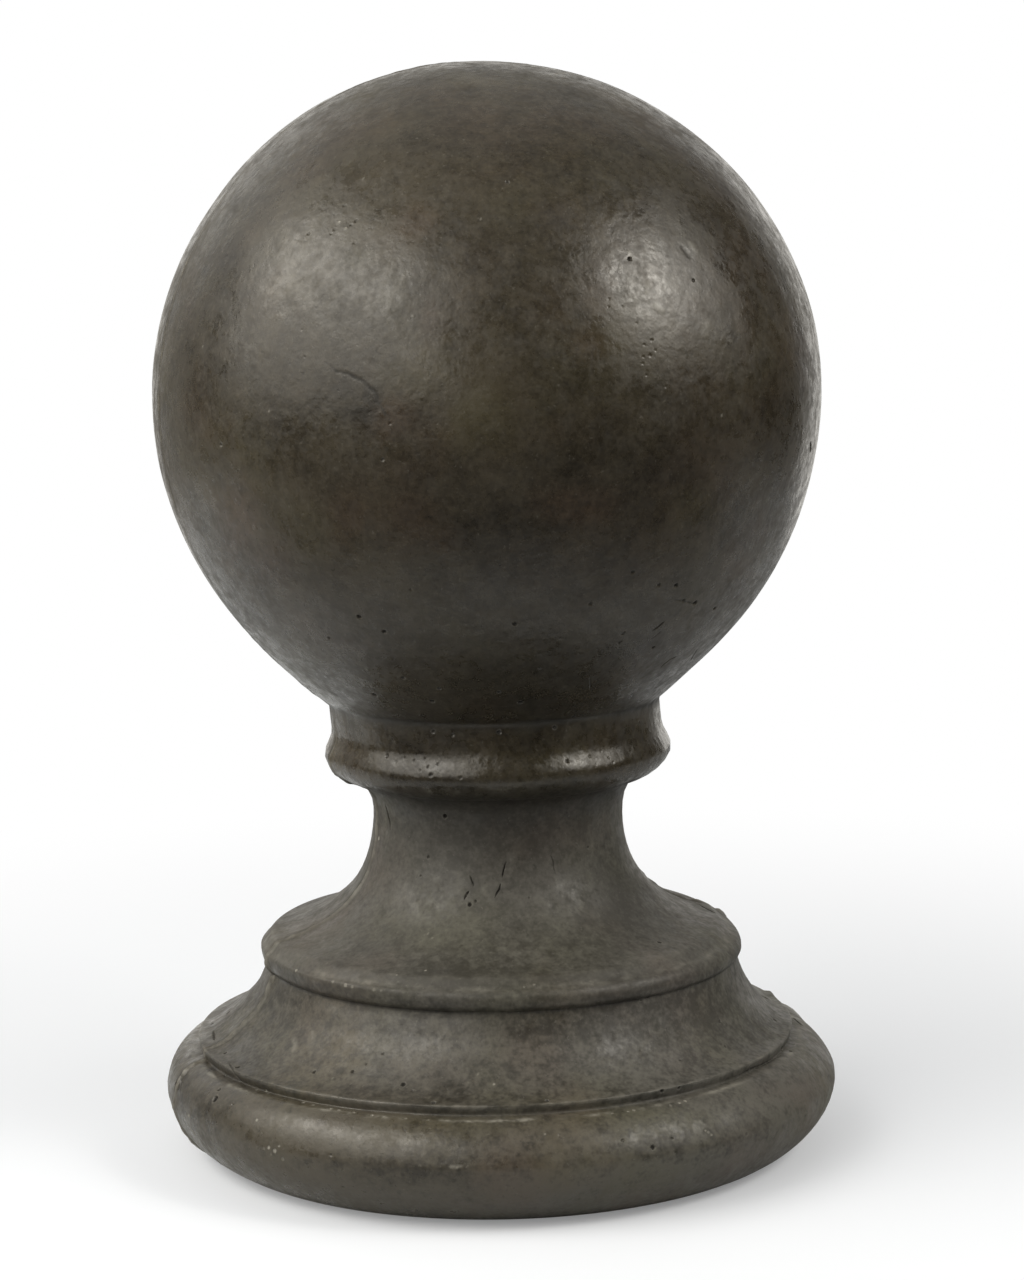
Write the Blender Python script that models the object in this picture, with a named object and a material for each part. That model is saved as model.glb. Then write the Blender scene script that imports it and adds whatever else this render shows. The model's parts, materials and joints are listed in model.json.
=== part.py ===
"""Round finial in cast concrete: a ball on a collar and flared neck, over a
hollow moulding and a half-round base. One solid, turned about the Z axis.

Metres, +Z up, origin at the centre of the flat underside.
"""

import math

import bmesh
import bpy

# ------------------------------------------------------------ driving sizes
SEGMENTS = 60              # facets round the axis

# half-round base moulding
FOOT_RADIUS = 0.1297       # flat underside
FOOT_ROUND = 0.0012        # worn lower edge
BASE_RADIUS = 0.1575       # widest part of the whole object
BASE_WIDEST_Z = 0.0303
BASE_LOWER_POWER = 1.62    # 2 is an ellipse, less is straighter
BASE_TOP_RADIUS = 0.1423
BASE_TOP_Z = 0.0482
BASE_UPPER_POWER = 1.50

# sunk line and the small upright face above it
GROOVE_RADIUS = 0.1361
GROOVE_Z = 0.0490
ARRIS_RADIUS = 0.1392
ARRIS_Z = 0.0537

# hollow moulding
HOLLOW_TOP_RADIUS = 0.1090
HOLLOW_TOP_Z = 0.0873
HOLLOW_POWER = 1.60

# thin rounded rim
RIM_RADIUS = 0.1124
RIM_TOP_RADIUS = 0.1098
RIM_TOP_Z = 0.0964

# flare: a worn shoulder on the rim, then one hollow curve up to the neck
FLARE_RADIUS = 0.1041
FLARE_Z = 0.1013
FLARE_SLOPE = math.radians(25.0)
FLARE_SLOPE_RUN = 0.0015   # length that keeps the slope
FLARE_UPRIGHT_RUN = 0.0477 # length that keeps upright below the neck

# neck where it is slimmest
NECK_RADIUS = 0.0581
NECK_Z = 0.1552
NECK_UPRIGHT_RUN = 0.0132

# collar under the ball
COLLAR_FOOT_RADIUS = 0.0669
COLLAR_FOOT_Z = 0.1727
COLLAR_FOOT_SLOPE = math.radians(30.0)
COLLAR_FOOT_RUN = 0.0046
COLLAR_RADIUS = 0.0805
COLLAR_Z = 0.1883
COLLAR_POWER = 1.65
COLLAR_TOP_RADIUS = 0.0763
COLLAR_TOP_Z = 0.2040

# ball: round at its equator, a little flat on top, drawn out to the collar
BALL_RADIUS = 0.1525
BALL_CENTRE_Z = 0.3495
BALL_FLAT = 0.0026         # how much lower the crown is than a true ball
BALL_FULL = 0.0055         # slow swelling of the lower half
BALL_DRAW = 0.0110         # quick swelling close to the collar
BALL_END = math.radians(153.2)  # angle from the crown where the ball meets the collar


# ------------------------------------------------------------ curves
def quarter(level, upright, power, steps):
    """Quarter curve that is level at one end and upright at the other.

    level and upright are (radius, height). Power 2 is a quarter ellipse.
    """
    points = []
    for i in range(steps + 1):
        turn = 0.5 * math.pi * i / steps
        out = abs(math.sin(turn)) ** (2.0 / power)
        up = abs(math.cos(turn)) ** (2.0 / power)
        points.append((level[0] + (upright[0] - level[0]) * out,
                       upright[1] + (level[1] - upright[1]) * up))
    return points


def bead(low, high, reach, steps):
    """Rounded edge from low to high that stands out to the radius reach."""
    points = []
    for i in range(1, steps):
        turn = math.pi * (i / steps - 0.5)
        share = 0.5 * (1.0 + math.sin(turn))
        base = low[0] + (high[0] - low[0]) * share
        crest = reach - 0.5 * (low[0] + high[0])
        points.append((base + crest * math.cos(turn) ** 0.8,
                       low[1] + (high[1] - low[1]) * share))
    return points


def ease(low, high, steps):
    """S-curve that is upright at both ends."""
    points = []
    for i in range(1, steps + 1):
        share = i / steps
        swing = 0.5 * (1.0 - math.cos(math.pi * share))
        points.append((low[0] + (high[0] - low[0]) * swing,
                       low[1] + (high[1] - low[1]) * share))
    return points


def bend(level, slope, slope_run, upright, upright_run, steps):
    """Curve that leaves level at a slope and comes upright at the other end.

    A negative upright_run arrives from above. Both runs are handle lengths.
    """
    first = (level[0] - slope_run * math.cos(slope),
             level[1] + math.copysign(slope_run, upright_run) * math.sin(slope))
    second = (upright[0], upright[1] - upright_run)
    points = []
    for i in range(steps + 1):
        t = i / steps
        weights = ((1 - t) ** 3, 3 * (1 - t) ** 2 * t, 3 * (1 - t) * t * t, t ** 3)
        ends = (level, first, second, upright)
        points.append(tuple(sum(w * end[k] for w, end in zip(weights, ends))
                            for k in (0, 1)))
    return points


def ball_reach(angle):
    """Distance of the ball's skin from its centre, angle from the crown."""
    rise = math.cos(angle)
    if rise > 0.0:
        return BALL_RADIUS - BALL_FLAT * rise ** 1.5
    return BALL_RADIUS + BALL_FULL * rise ** 2 + BALL_DRAW * (-rise) ** 9


def turned_profile():
    """The outline from the centre of the underside up to the crown."""
    foot = [(0.0, 0.0), (FOOT_RADIUS - FOOT_ROUND, 0.0)]
    base_low = quarter((FOOT_RADIUS, 0.0004), (BASE_RADIUS, BASE_WIDEST_Z),
                       BASE_LOWER_POWER, 8)
    base_up = quarter((BASE_TOP_RADIUS, BASE_TOP_Z), (BASE_RADIUS, BASE_WIDEST_Z),
                      BASE_UPPER_POWER, 5)[::-1][1:]
    step = [(GROOVE_RADIUS, GROOVE_Z), (ARRIS_RADIUS, ARRIS_Z)]
    hollow = quarter((ARRIS_RADIUS, ARRIS_Z), (HOLLOW_TOP_RADIUS, HOLLOW_TOP_Z),
                     HOLLOW_POWER, 8)[1:]
    rim = bead((HOLLOW_TOP_RADIUS, HOLLOW_TOP_Z), (RIM_TOP_RADIUS, RIM_TOP_Z),
               RIM_RADIUS, 5)
    flare = [(RIM_TOP_RADIUS, RIM_TOP_Z)]
    flare += bend((FLARE_RADIUS, FLARE_Z), FLARE_SLOPE, FLARE_SLOPE_RUN,
                  (NECK_RADIUS, NECK_Z), FLARE_UPRIGHT_RUN, 10)
    neck = bend((COLLAR_FOOT_RADIUS, COLLAR_FOOT_Z), COLLAR_FOOT_SLOPE,
                COLLAR_FOOT_RUN, (NECK_RADIUS, NECK_Z), -NECK_UPRIGHT_RUN, 4)[::-1][1:]
    collar = quarter((COLLAR_FOOT_RADIUS, COLLAR_FOOT_Z), (COLLAR_RADIUS, COLLAR_Z),
                     COLLAR_POWER, 5)[1:]
    sweep = ease((COLLAR_RADIUS, COLLAR_Z), (COLLAR_TOP_RADIUS, COLLAR_TOP_Z), 4)
    ball = []
    rings = 19
    for i in range(rings + 1):
        angle = BALL_END * (1.0 - i / rings)
        reach = ball_reach(angle)
        ball.append((reach * math.sin(angle), BALL_CENTRE_Z + reach * math.cos(angle)))
    ball[-1] = (0.0, ball[-1][1])
    return (foot + base_low + base_up + step + hollow + rim + flare + neck
            + collar + sweep + ball)


# ------------------------------------------------------------ object
def concrete():
    """Dark grey-brown waxed concrete."""
    material = bpy.data.materials.new("dark_concrete")
    material.use_nodes = True
    shader = material.node_tree.nodes["Principled BSDF"]
    shader.inputs["Base Color"].default_value = (0.072, 0.064, 0.050, 1.0)
    shader.inputs["Roughness"].default_value = 0.45
    shader.inputs["Metallic"].default_value = 0.0
    material.diffuse_color = (0.072, 0.064, 0.050, 1.0)
    return material


def turn(name, profile, material):
    """Spin a profile round Z into one closed body."""
    shape = bmesh.new()
    points = [shape.verts.new((radius, 0.0, height)) for radius, height in profile]
    edges = [shape.edges.new(pair) for pair in zip(points, points[1:])]
    bmesh.ops.spin(shape, geom=points + edges, cent=(0.0, 0.0, 0.0),
                   axis=(0.0, 0.0, 1.0), angle=math.tau, steps=SEGMENTS,
                   use_merge=True, use_duplicate=False)
    bmesh.ops.remove_doubles(shape, verts=shape.verts, dist=0.00002)
    bmesh.ops.recalc_face_normals(shape, faces=shape.faces)
    mesh = bpy.data.meshes.new(name)
    shape.to_mesh(mesh)
    shape.free()
    mesh.shade_smooth()
    mesh.set_sharp_from_angle(angle=math.radians(38.0))
    mesh.materials.append(material)
    piece = bpy.data.objects.new(name, mesh)
    bpy.context.scene.collection.objects.link(piece)
    return piece


def main():
    for item in list(bpy.data.objects):
        bpy.data.objects.remove(item, do_unlink=True)
    turn("ball_finial", turned_profile(), concrete())


main()
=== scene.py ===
"""Round finial in dark cast concrete: its fine surface, finish and set.

One casting stands for the solid ball_finial. The turned outline repeats the
sizes of the solid. On it come the slight unevenness of a hand-rubbed casting,
the mould seam, air-bubble pits, scratches, a crack and worn, chipped edges,
all in the mesh. Colour, gloss and the finest grain are in the material. The
colour holds painted highlights and painted shade besides stains and wear.

Metres, +Z up, origin at the centre of the flat underside. The camera is in
front, towards -Y. Marks are placed by their pixel in the photograph's frame of
1024 x 1280 and thrown onto the surface from the camera.
"""

import json
import math

import bpy
import numpy as np
from mathutils import Matrix, Vector, noise
from mathutils.bvhtree import BVHTree

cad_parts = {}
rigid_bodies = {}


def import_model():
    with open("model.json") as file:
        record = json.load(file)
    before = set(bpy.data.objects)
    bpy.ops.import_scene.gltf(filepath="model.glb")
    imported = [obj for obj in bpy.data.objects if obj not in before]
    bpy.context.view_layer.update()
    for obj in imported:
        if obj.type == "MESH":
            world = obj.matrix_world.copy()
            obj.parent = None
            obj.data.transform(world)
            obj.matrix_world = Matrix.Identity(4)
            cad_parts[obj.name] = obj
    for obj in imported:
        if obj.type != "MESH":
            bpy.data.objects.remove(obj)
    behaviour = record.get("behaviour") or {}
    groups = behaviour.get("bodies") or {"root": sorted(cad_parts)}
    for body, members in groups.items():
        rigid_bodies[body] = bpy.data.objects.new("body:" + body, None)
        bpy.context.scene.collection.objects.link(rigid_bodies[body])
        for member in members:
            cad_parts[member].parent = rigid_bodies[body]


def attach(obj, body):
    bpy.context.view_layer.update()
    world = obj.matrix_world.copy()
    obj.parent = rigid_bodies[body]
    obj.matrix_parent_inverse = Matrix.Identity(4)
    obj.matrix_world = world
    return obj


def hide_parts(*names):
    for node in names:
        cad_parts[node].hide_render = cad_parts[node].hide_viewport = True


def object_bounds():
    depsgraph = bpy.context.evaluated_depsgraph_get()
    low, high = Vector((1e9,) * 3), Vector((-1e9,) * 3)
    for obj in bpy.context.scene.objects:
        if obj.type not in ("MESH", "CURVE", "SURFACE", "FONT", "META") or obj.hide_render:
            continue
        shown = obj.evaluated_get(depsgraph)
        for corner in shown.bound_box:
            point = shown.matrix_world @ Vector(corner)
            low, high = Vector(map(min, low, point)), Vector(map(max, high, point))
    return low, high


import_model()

CAD_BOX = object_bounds()
MM = 0.001

# ------------------------------------------------------------ sizes of the solid
FOOT_RADIUS = 0.1297
FOOT_ROUND = 0.0012
BASE_RADIUS = 0.1575
BASE_WIDEST_Z = 0.0303
BASE_LOWER_POWER = 1.62
BASE_TOP_RADIUS = 0.1423
BASE_TOP_Z = 0.0482
BASE_UPPER_POWER = 1.50
GROOVE_RADIUS = 0.1361
GROOVE_Z = 0.0490
GROOVE_FILL = 0.0021       # the sunk line is partly filled with wax and dirt
ARRIS_RADIUS = 0.1392
ARRIS_Z = 0.0537
HOLLOW_TOP_RADIUS = 0.1090
HOLLOW_TOP_Z = 0.0873
HOLLOW_POWER = 1.60
RIM_RADIUS = 0.1124
RIM_TOP_RADIUS = 0.1098
RIM_TOP_Z = 0.0964
FLARE_RADIUS = 0.1041
FLARE_Z = 0.1013
FLARE_SLOPE = math.radians(25.0)
FLARE_SLOPE_RUN = 0.0015
FLARE_UPRIGHT_RUN = 0.0477
NECK_RADIUS = 0.0581
NECK_Z = 0.1552
NECK_UPRIGHT_RUN = 0.0132
COLLAR_FOOT_RADIUS = 0.0669
COLLAR_FOOT_Z = 0.1727
COLLAR_FOOT_SLOPE = math.radians(30.0)
COLLAR_FOOT_RUN = 0.0046
COLLAR_RADIUS = 0.0805
COLLAR_Z = 0.1883
COLLAR_POWER = 1.65
COLLAR_TOP_RADIUS = 0.0763
BALL_RADIUS = 0.1525
BALL_CENTRE_Z = 0.3495
BALL_FLAT = 0.0026
BALL_FULL = 0.0055
BALL_DRAW = 0.0110
BALL_END = math.radians(153.2)

# ------------------------------------------------------------ sizes of the surface
COLUMNS = 148              # coarse mesh columns round the axis
ROW = 5.2 * MM             # coarse mesh row, on plain stretches
CREASE_ROW = 0.9 * MM      # row beside a crease
FINEST = 4                 # how many times a coarse face may be halved

SEAMS = (math.radians(-72.9), math.radians(107.1))  # where the mould halves met

# How far the casting strays from a true turned form, ring by ring:
# height, sideways lean to +X, change of radius, in millimetres.
STRAY = (
    (0.0, 0.51, 0.30), (18.3, 0.17, 0.10), (33.5, -0.45, -0.55), (45.8, -2.72, -0.15),
    (54.9, -2.72, 0.24), (64.0, -1.42, 1.53), (73.2, 0.52, 0.93), (82.4, 0.52, 1.52),
    (90.0, 2.13, -0.10), (96.1, -0.52, -0.70), (102.2, -2.14, 0.85),
    (109.8, -0.50, 0.20), (122.0, 0.29, -0.17), (144.9, 0.28, -0.11),
    (167.8, 1.10, -0.28), (178.4, 0.48, -0.61), (189.1, 1.65, 0.25),
    (198.2, 0.57, 0.18), (205.9, -0.01, 0.36), (221.1, -0.72, -0.57),
    (259.2, -0.19, -0.16), (320.2, -0.68, 0.03), (381.2, -0.25, -0.04),
    (442.2, -0.41, -0.43), (480.4, -1.54, -0.25), (500.0, -1.55, -0.09),
)

# ------------------------------------------------------------ camera
FRAME = (1024, 1280)
FOCAL = 3270.39            # in the frame's pixels
EYE = Vector((0.0, -1.49752, 0.45601))
PITCH = math.radians(8.4007)
ROLL = math.radians(-1.1352)
YAW = math.radians(0.3337)


def view_axes():
    """Right, up and ahead of the camera."""
    ahead = Vector((math.sin(YAW) * math.cos(PITCH), math.cos(YAW) * math.cos(PITCH),
                    -math.sin(PITCH)))
    level = Vector((math.cos(YAW), -math.sin(YAW), 0.0))
    upright = level.cross(ahead)
    right = math.cos(ROLL) * level + math.sin(ROLL) * upright
    up = -math.sin(ROLL) * level + math.cos(ROLL) * upright
    return right, up, ahead


RIGHT, UP, AHEAD = view_axes()


def pixel_ray(x, y):
    """Direction from the eye through a pixel of the frame."""
    return (AHEAD + RIGHT * ((x - FRAME[0] / 2) / FOCAL)
            + UP * ((FRAME[1] / 2 - y) / FOCAL)).normalized()


def to_pixels(points):
    """Where points of the object fall in the frame."""
    rel = points - np.array(EYE)
    depth = rel @ np.array(AHEAD)
    x = FRAME[0] / 2 + FOCAL * (rel @ np.array(RIGHT)) / depth
    y = FRAME[1] / 2 - FOCAL * (rel @ np.array(UP)) / depth
    return x, y


# ------------------------------------------------------------ outline
def quarter(level, upright, power, steps):
    points = []
    for i in range(steps + 1):
        turn = 0.5 * math.pi * i / steps
        out = abs(math.sin(turn)) ** (2.0 / power)
        up = abs(math.cos(turn)) ** (2.0 / power)
        points.append((level[0] + (upright[0] - level[0]) * out,
                       upright[1] + (level[1] - upright[1]) * up))
    return points


def bead(low, high, reach, steps):
    points = []
    for i in range(1, steps):
        turn = math.pi * (i / steps - 0.5)
        share = 0.5 * (1.0 + math.sin(turn))
        base = low[0] + (high[0] - low[0]) * share
        crest = reach - 0.5 * (low[0] + high[0])
        points.append((base + crest * math.cos(turn) ** 0.8,
                       low[1] + (high[1] - low[1]) * share))
    return points


def ease(low, high, steps):
    points = []
    for i in range(1, steps + 1):
        share = i / steps
        swing = min(1.0, share / 0.46)
        swing = swing * swing * (3.0 - 2.0 * swing)
        points.append((low[0] + (high[0] - low[0]) * swing,
                       low[1] + (high[1] - low[1]) * share))
    return points


def bend(level, slope, slope_run, upright, upright_run, steps):
    first = (level[0] - slope_run * math.cos(slope),
             level[1] + math.copysign(slope_run, upright_run) * math.sin(slope))
    second = (upright[0], upright[1] - upright_run)
    points = []
    for i in range(steps + 1):
        t = i / steps
        weights = ((1 - t) ** 3, 3 * (1 - t) ** 2 * t, 3 * (1 - t) * t * t, t ** 3)
        ends = (level, first, second, upright)
        points.append(tuple(sum(w * end[k] for w, end in zip(weights, ends))
                            for k in (0, 1)))
    return points


def ball_reach(angle):
    rise = math.cos(angle)
    if rise > 0.0:
        return BALL_RADIUS - BALL_FLAT * rise ** 1.5
    return BALL_RADIUS + BALL_FULL * rise ** 2 + BALL_DRAW * (-rise) ** 9


def turned_outline():
    """The solid's outline with many points, and the creases on it."""
    foot = [(0.0, 0.0), (FOOT_RADIUS - FOOT_ROUND, 0.0)]
    base_low = quarter((FOOT_RADIUS, 0.0004), (BASE_RADIUS, BASE_WIDEST_Z),
                       BASE_LOWER_POWER, 80)
    base_up = quarter((BASE_TOP_RADIUS, BASE_TOP_Z), (BASE_RADIUS, BASE_WIDEST_Z),
                      BASE_UPPER_POWER, 60)[::-1][1:]
    step = [(GROOVE_RADIUS + GROOVE_FILL, GROOVE_Z), (ARRIS_RADIUS, ARRIS_Z)]
    hollow = quarter((ARRIS_RADIUS, ARRIS_Z), (HOLLOW_TOP_RADIUS, HOLLOW_TOP_Z),
                     HOLLOW_POWER, 80)[1:]
    rim = bead((HOLLOW_TOP_RADIUS, HOLLOW_TOP_Z), (RIM_TOP_RADIUS, RIM_TOP_Z),
               RIM_RADIUS, 24)
    flare = [(RIM_TOP_RADIUS, RIM_TOP_Z)]
    flare += bend((FLARE_RADIUS, FLARE_Z), FLARE_SLOPE, FLARE_SLOPE_RUN,
                  (NECK_RADIUS, NECK_Z), FLARE_UPRIGHT_RUN, 90)
    neck = bend((COLLAR_FOOT_RADIUS, COLLAR_FOOT_Z), COLLAR_FOOT_SLOPE,
                COLLAR_FOOT_RUN, (NECK_RADIUS, NECK_Z), -NECK_UPRIGHT_RUN, 40)[::-1][1:]
    ball = []
    for i in range(401):
        angle = BALL_END * (1.0 - i / 400)
        reach = ball_reach(angle)
        ball.append((reach * math.sin(angle), BALL_CENTRE_Z + reach * math.cos(angle)))
    ball[-1] = (0.0, ball[-1][1])
    # wax and mortar fill the small ledge under the ball
    ball = [point for point in ball
            if point[0] > COLLAR_TOP_RADIUS or point[1] > BALL_CENTRE_Z]
    widest = (COLLAR_RADIUS, COLLAR_Z - 0.0043)
    meeting = (COLLAR_TOP_RADIUS, ball[0][1])
    collar = quarter((COLLAR_FOOT_RADIUS, COLLAR_FOOT_Z), widest, COLLAR_POWER, 40)[1:]
    sweep = ease(widest, meeting, 30)[:-1]
    points = (foot + base_low + base_up + step + hollow + rim + flare + neck
              + collar + sweep + ball)
    creases = ((FOOT_RADIUS, 0.0004), (BASE_TOP_RADIUS, BASE_TOP_Z),
               (GROOVE_RADIUS + GROOVE_FILL, GROOVE_Z), (ARRIS_RADIUS, ARRIS_Z),
               (HOLLOW_TOP_RADIUS, HOLLOW_TOP_Z), (RIM_RADIUS, 0.0925),
               (RIM_TOP_RADIUS, RIM_TOP_Z), (FLARE_RADIUS, FLARE_Z),
               (COLLAR_FOOT_RADIUS, COLLAR_FOOT_Z), meeting)
    return np.array(points), np.array(creases)


def smoothed(values, sigma):
    """Gaussian blur of an evenly spaced list whose ends stay where they are."""
    reach = int(math.ceil(4 * sigma))
    kernel = np.exp(-0.5 * (np.arange(-reach, reach + 1) / sigma) ** 2)
    kernel /= kernel.sum()
    padded = np.concatenate((2 * values[0] - values[reach:0:-1], values,
                             2 * values[-1] - values[-2:-reach - 2:-1]))
    return np.convolve(padded, kernel, mode="valid")


class Outline:
    """The worn outline as evenly spaced samples along its own length."""

    STEP = 0.1 * MM

    def __init__(self):
        points, creases = turned_outline()
        length = np.concatenate(([0.0], np.cumsum(
            np.hypot(*np.diff(points, axis=0).T))))
        count = int(round(length[-1] / self.STEP))
        self.along = np.linspace(0.0, length[-1], count + 1)
        radius = np.interp(self.along, length, points[:, 0])
        height = np.interp(self.along, length, points[:, 1])
        # edges are worn round, the sunk line above the base less so
        soft = (smoothed(radius, 8.0), smoothed(height, 8.0))
        crisp = (smoothed(radius, 5.0), smoothed(height, 5.0))
        share = np.exp(-((height - 0.0496) / 0.0035) ** 2)
        self.radius = soft[0] + (crisp[0] - soft[0]) * share
        self.height = soft[1] + (crisp[1] - soft[1]) * share
        # the crease under the ball is rubbed nearly smooth
        dull = (smoothed(radius, 13.0), smoothed(height, 13.0))
        share = np.exp(-((height - 0.2075) / 0.0050) ** 2) * (radius < 0.10)
        self.radius = self.radius + (dull[0] - self.radius) * share
        self.height = self.height + (dull[1] - self.height) * share
        self.radius[0] = self.radius[-1] = 0.0
        self.height = np.clip(self.height, 0.0, CAD_BOX[1][2])
        slope_r = smoothed(np.gradient(self.radius, self.along), 4.0)
        slope_z = smoothed(np.gradient(self.height, self.along), 4.0)
        size = np.hypot(slope_r, slope_z)
        self.out, self.up = slope_z / size, -slope_r / size
        self.creases = np.array([self.nearest(*crease) for crease in creases])
        self.foot_edge = self.creases[0]

    def nearest(self, radius, height):
        gap = (self.radius - radius) ** 2 + (self.height - height) ** 2
        return self.along[int(np.argmin(gap))]

    def rows(self):
        """Lengths at which the coarse mesh has a ring."""
        rows, here, end = [0.0], 0.0, self.along[-1]
        while here < end:
            gap = np.abs(self.creases - here).min()
            pace = min(ROW, CREASE_ROW + 0.40 * gap)
            height = np.interp(here, self.along, self.height)
            if height < 0.056 or 0.165 < height < 0.212:
                pace = min(pace, 3.6 * MM)
            if here < self.foot_edge - 0.012:
                pace = 0.011
            here += pace
            rows.append(here)
        rows = np.array(rows)
        return rows * (end / rows[-1])


OUTLINE = Outline()
STRAY_Z = np.linspace(0.0, 0.5, 1001)
STRAY_LEAN, STRAY_SWELL = (smoothed(np.interp(
    STRAY_Z, [row[0] * MM for row in STRAY], [row[k] * MM for row in STRAY]), 6.0)
    for k in (1, 2))


# ------------------------------------------------------------ surface
def hills(points, size, seed=0.0):
    """Smooth noise from about -1 to 1, with hills of that size in metres."""
    scaled = (points / size + seed).tolist()
    return np.fromiter((noise.noise(p) for p in scaled), float, len(scaled))


def step_up(low, high, value):
    """0 below low, 1 above high, smooth between."""
    t = np.clip((value - low) / (high - low), 0.0, 1.0)
    return t * t * (3.0 - 2.0 * t)


def skin(turn, along):
    """Points of the casting before any mark, and their outward directions."""
    radius = np.interp(along, OUTLINE.along, OUTLINE.radius)
    height = np.interp(along, OUTLINE.along, OUTLINE.height)
    out = np.interp(along, OUTLINE.along, OUTLINE.out)
    up = np.interp(along, OUTLINE.along, OUTLINE.up)
    side = np.stack((np.sin(turn), -np.cos(turn)), axis=1)
    true = np.column_stack((radius[:, None] * side, height))
    facing = np.column_stack((out[:, None] * side, up))
    fade = step_up(0.0, 0.03, radius)
    swell = np.interp(height, STRAY_Z, STRAY_SWELL) * fade
    lean = np.interp(height, STRAY_Z, STRAY_LEAN)
    points = true.copy()
    points[:, :2] += swell[:, None] * side
    points[:, 0] += lean
    # slow hand-rubbed unevenness, none on the underside, and only inward at
    # the crown and at the widest ring
    above = step_up(0.0002, 0.004, height)
    crown = step_up(0.010, 0.0, CAD_BOX[1][2] - height)
    widest = step_up(0.004, 0.0, BASE_RADIUS - radius)
    slow = (0.26 * MM * hills(true, 0.075, 3.1) + 0.15 * MM * hills(true, 0.028, 7.7)
            + 0.050 * MM * hills(true, 0.012, 1.9))
    slow = slow - np.maximum(crown, widest) * (0.22 * MM + np.maximum(slow, 0.0))
    # the edge of the base and the small arris above it run in and out a little
    edge = np.exp(-((height - 0.0487) / 0.0022) ** 2) * step_up(0.130, 0.134, radius)
    slow = slow + edge * (0.35 * MM * hills(true, 0.022, 11.3)
                          + 0.22 * MM * hills(true, 0.008, 5.5))
    points += facing * (slow * above)[:, None]
    return points, facing


def turn_gap(turn, seam):
    """Signed angle from a seam, from -pi to pi."""
    return (turn - seam + math.pi) % math.tau - math.pi


# ------------------------------------------------------------ marks
class Surface:
    """The unmarked casting, to throw pixels onto."""

    def __init__(self):
        rows = OUTLINE.rows()
        columns = np.linspace(-math.pi, math.pi, 361)[:-1]
        turn, along = np.meshgrid(columns, rows)
        points, _ = skin(turn.ravel(), along.ravel())
        n, faces = len(columns), []
        for j in range(len(rows) - 1):
            for i in range(n):
                k = (i + 1) % n
                faces.append((j * n + i, j * n + k, (j + 1) * n + k, (j + 1) * n + i))
        self.tree = BVHTree.FromPolygons([tuple(p) for p in points.tolist()], faces)

    def at(self, x, y):
        """The point seen at a pixel, or None."""
        return self.tree.ray_cast(EYE, pixel_ray(x, y))[0]


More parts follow.
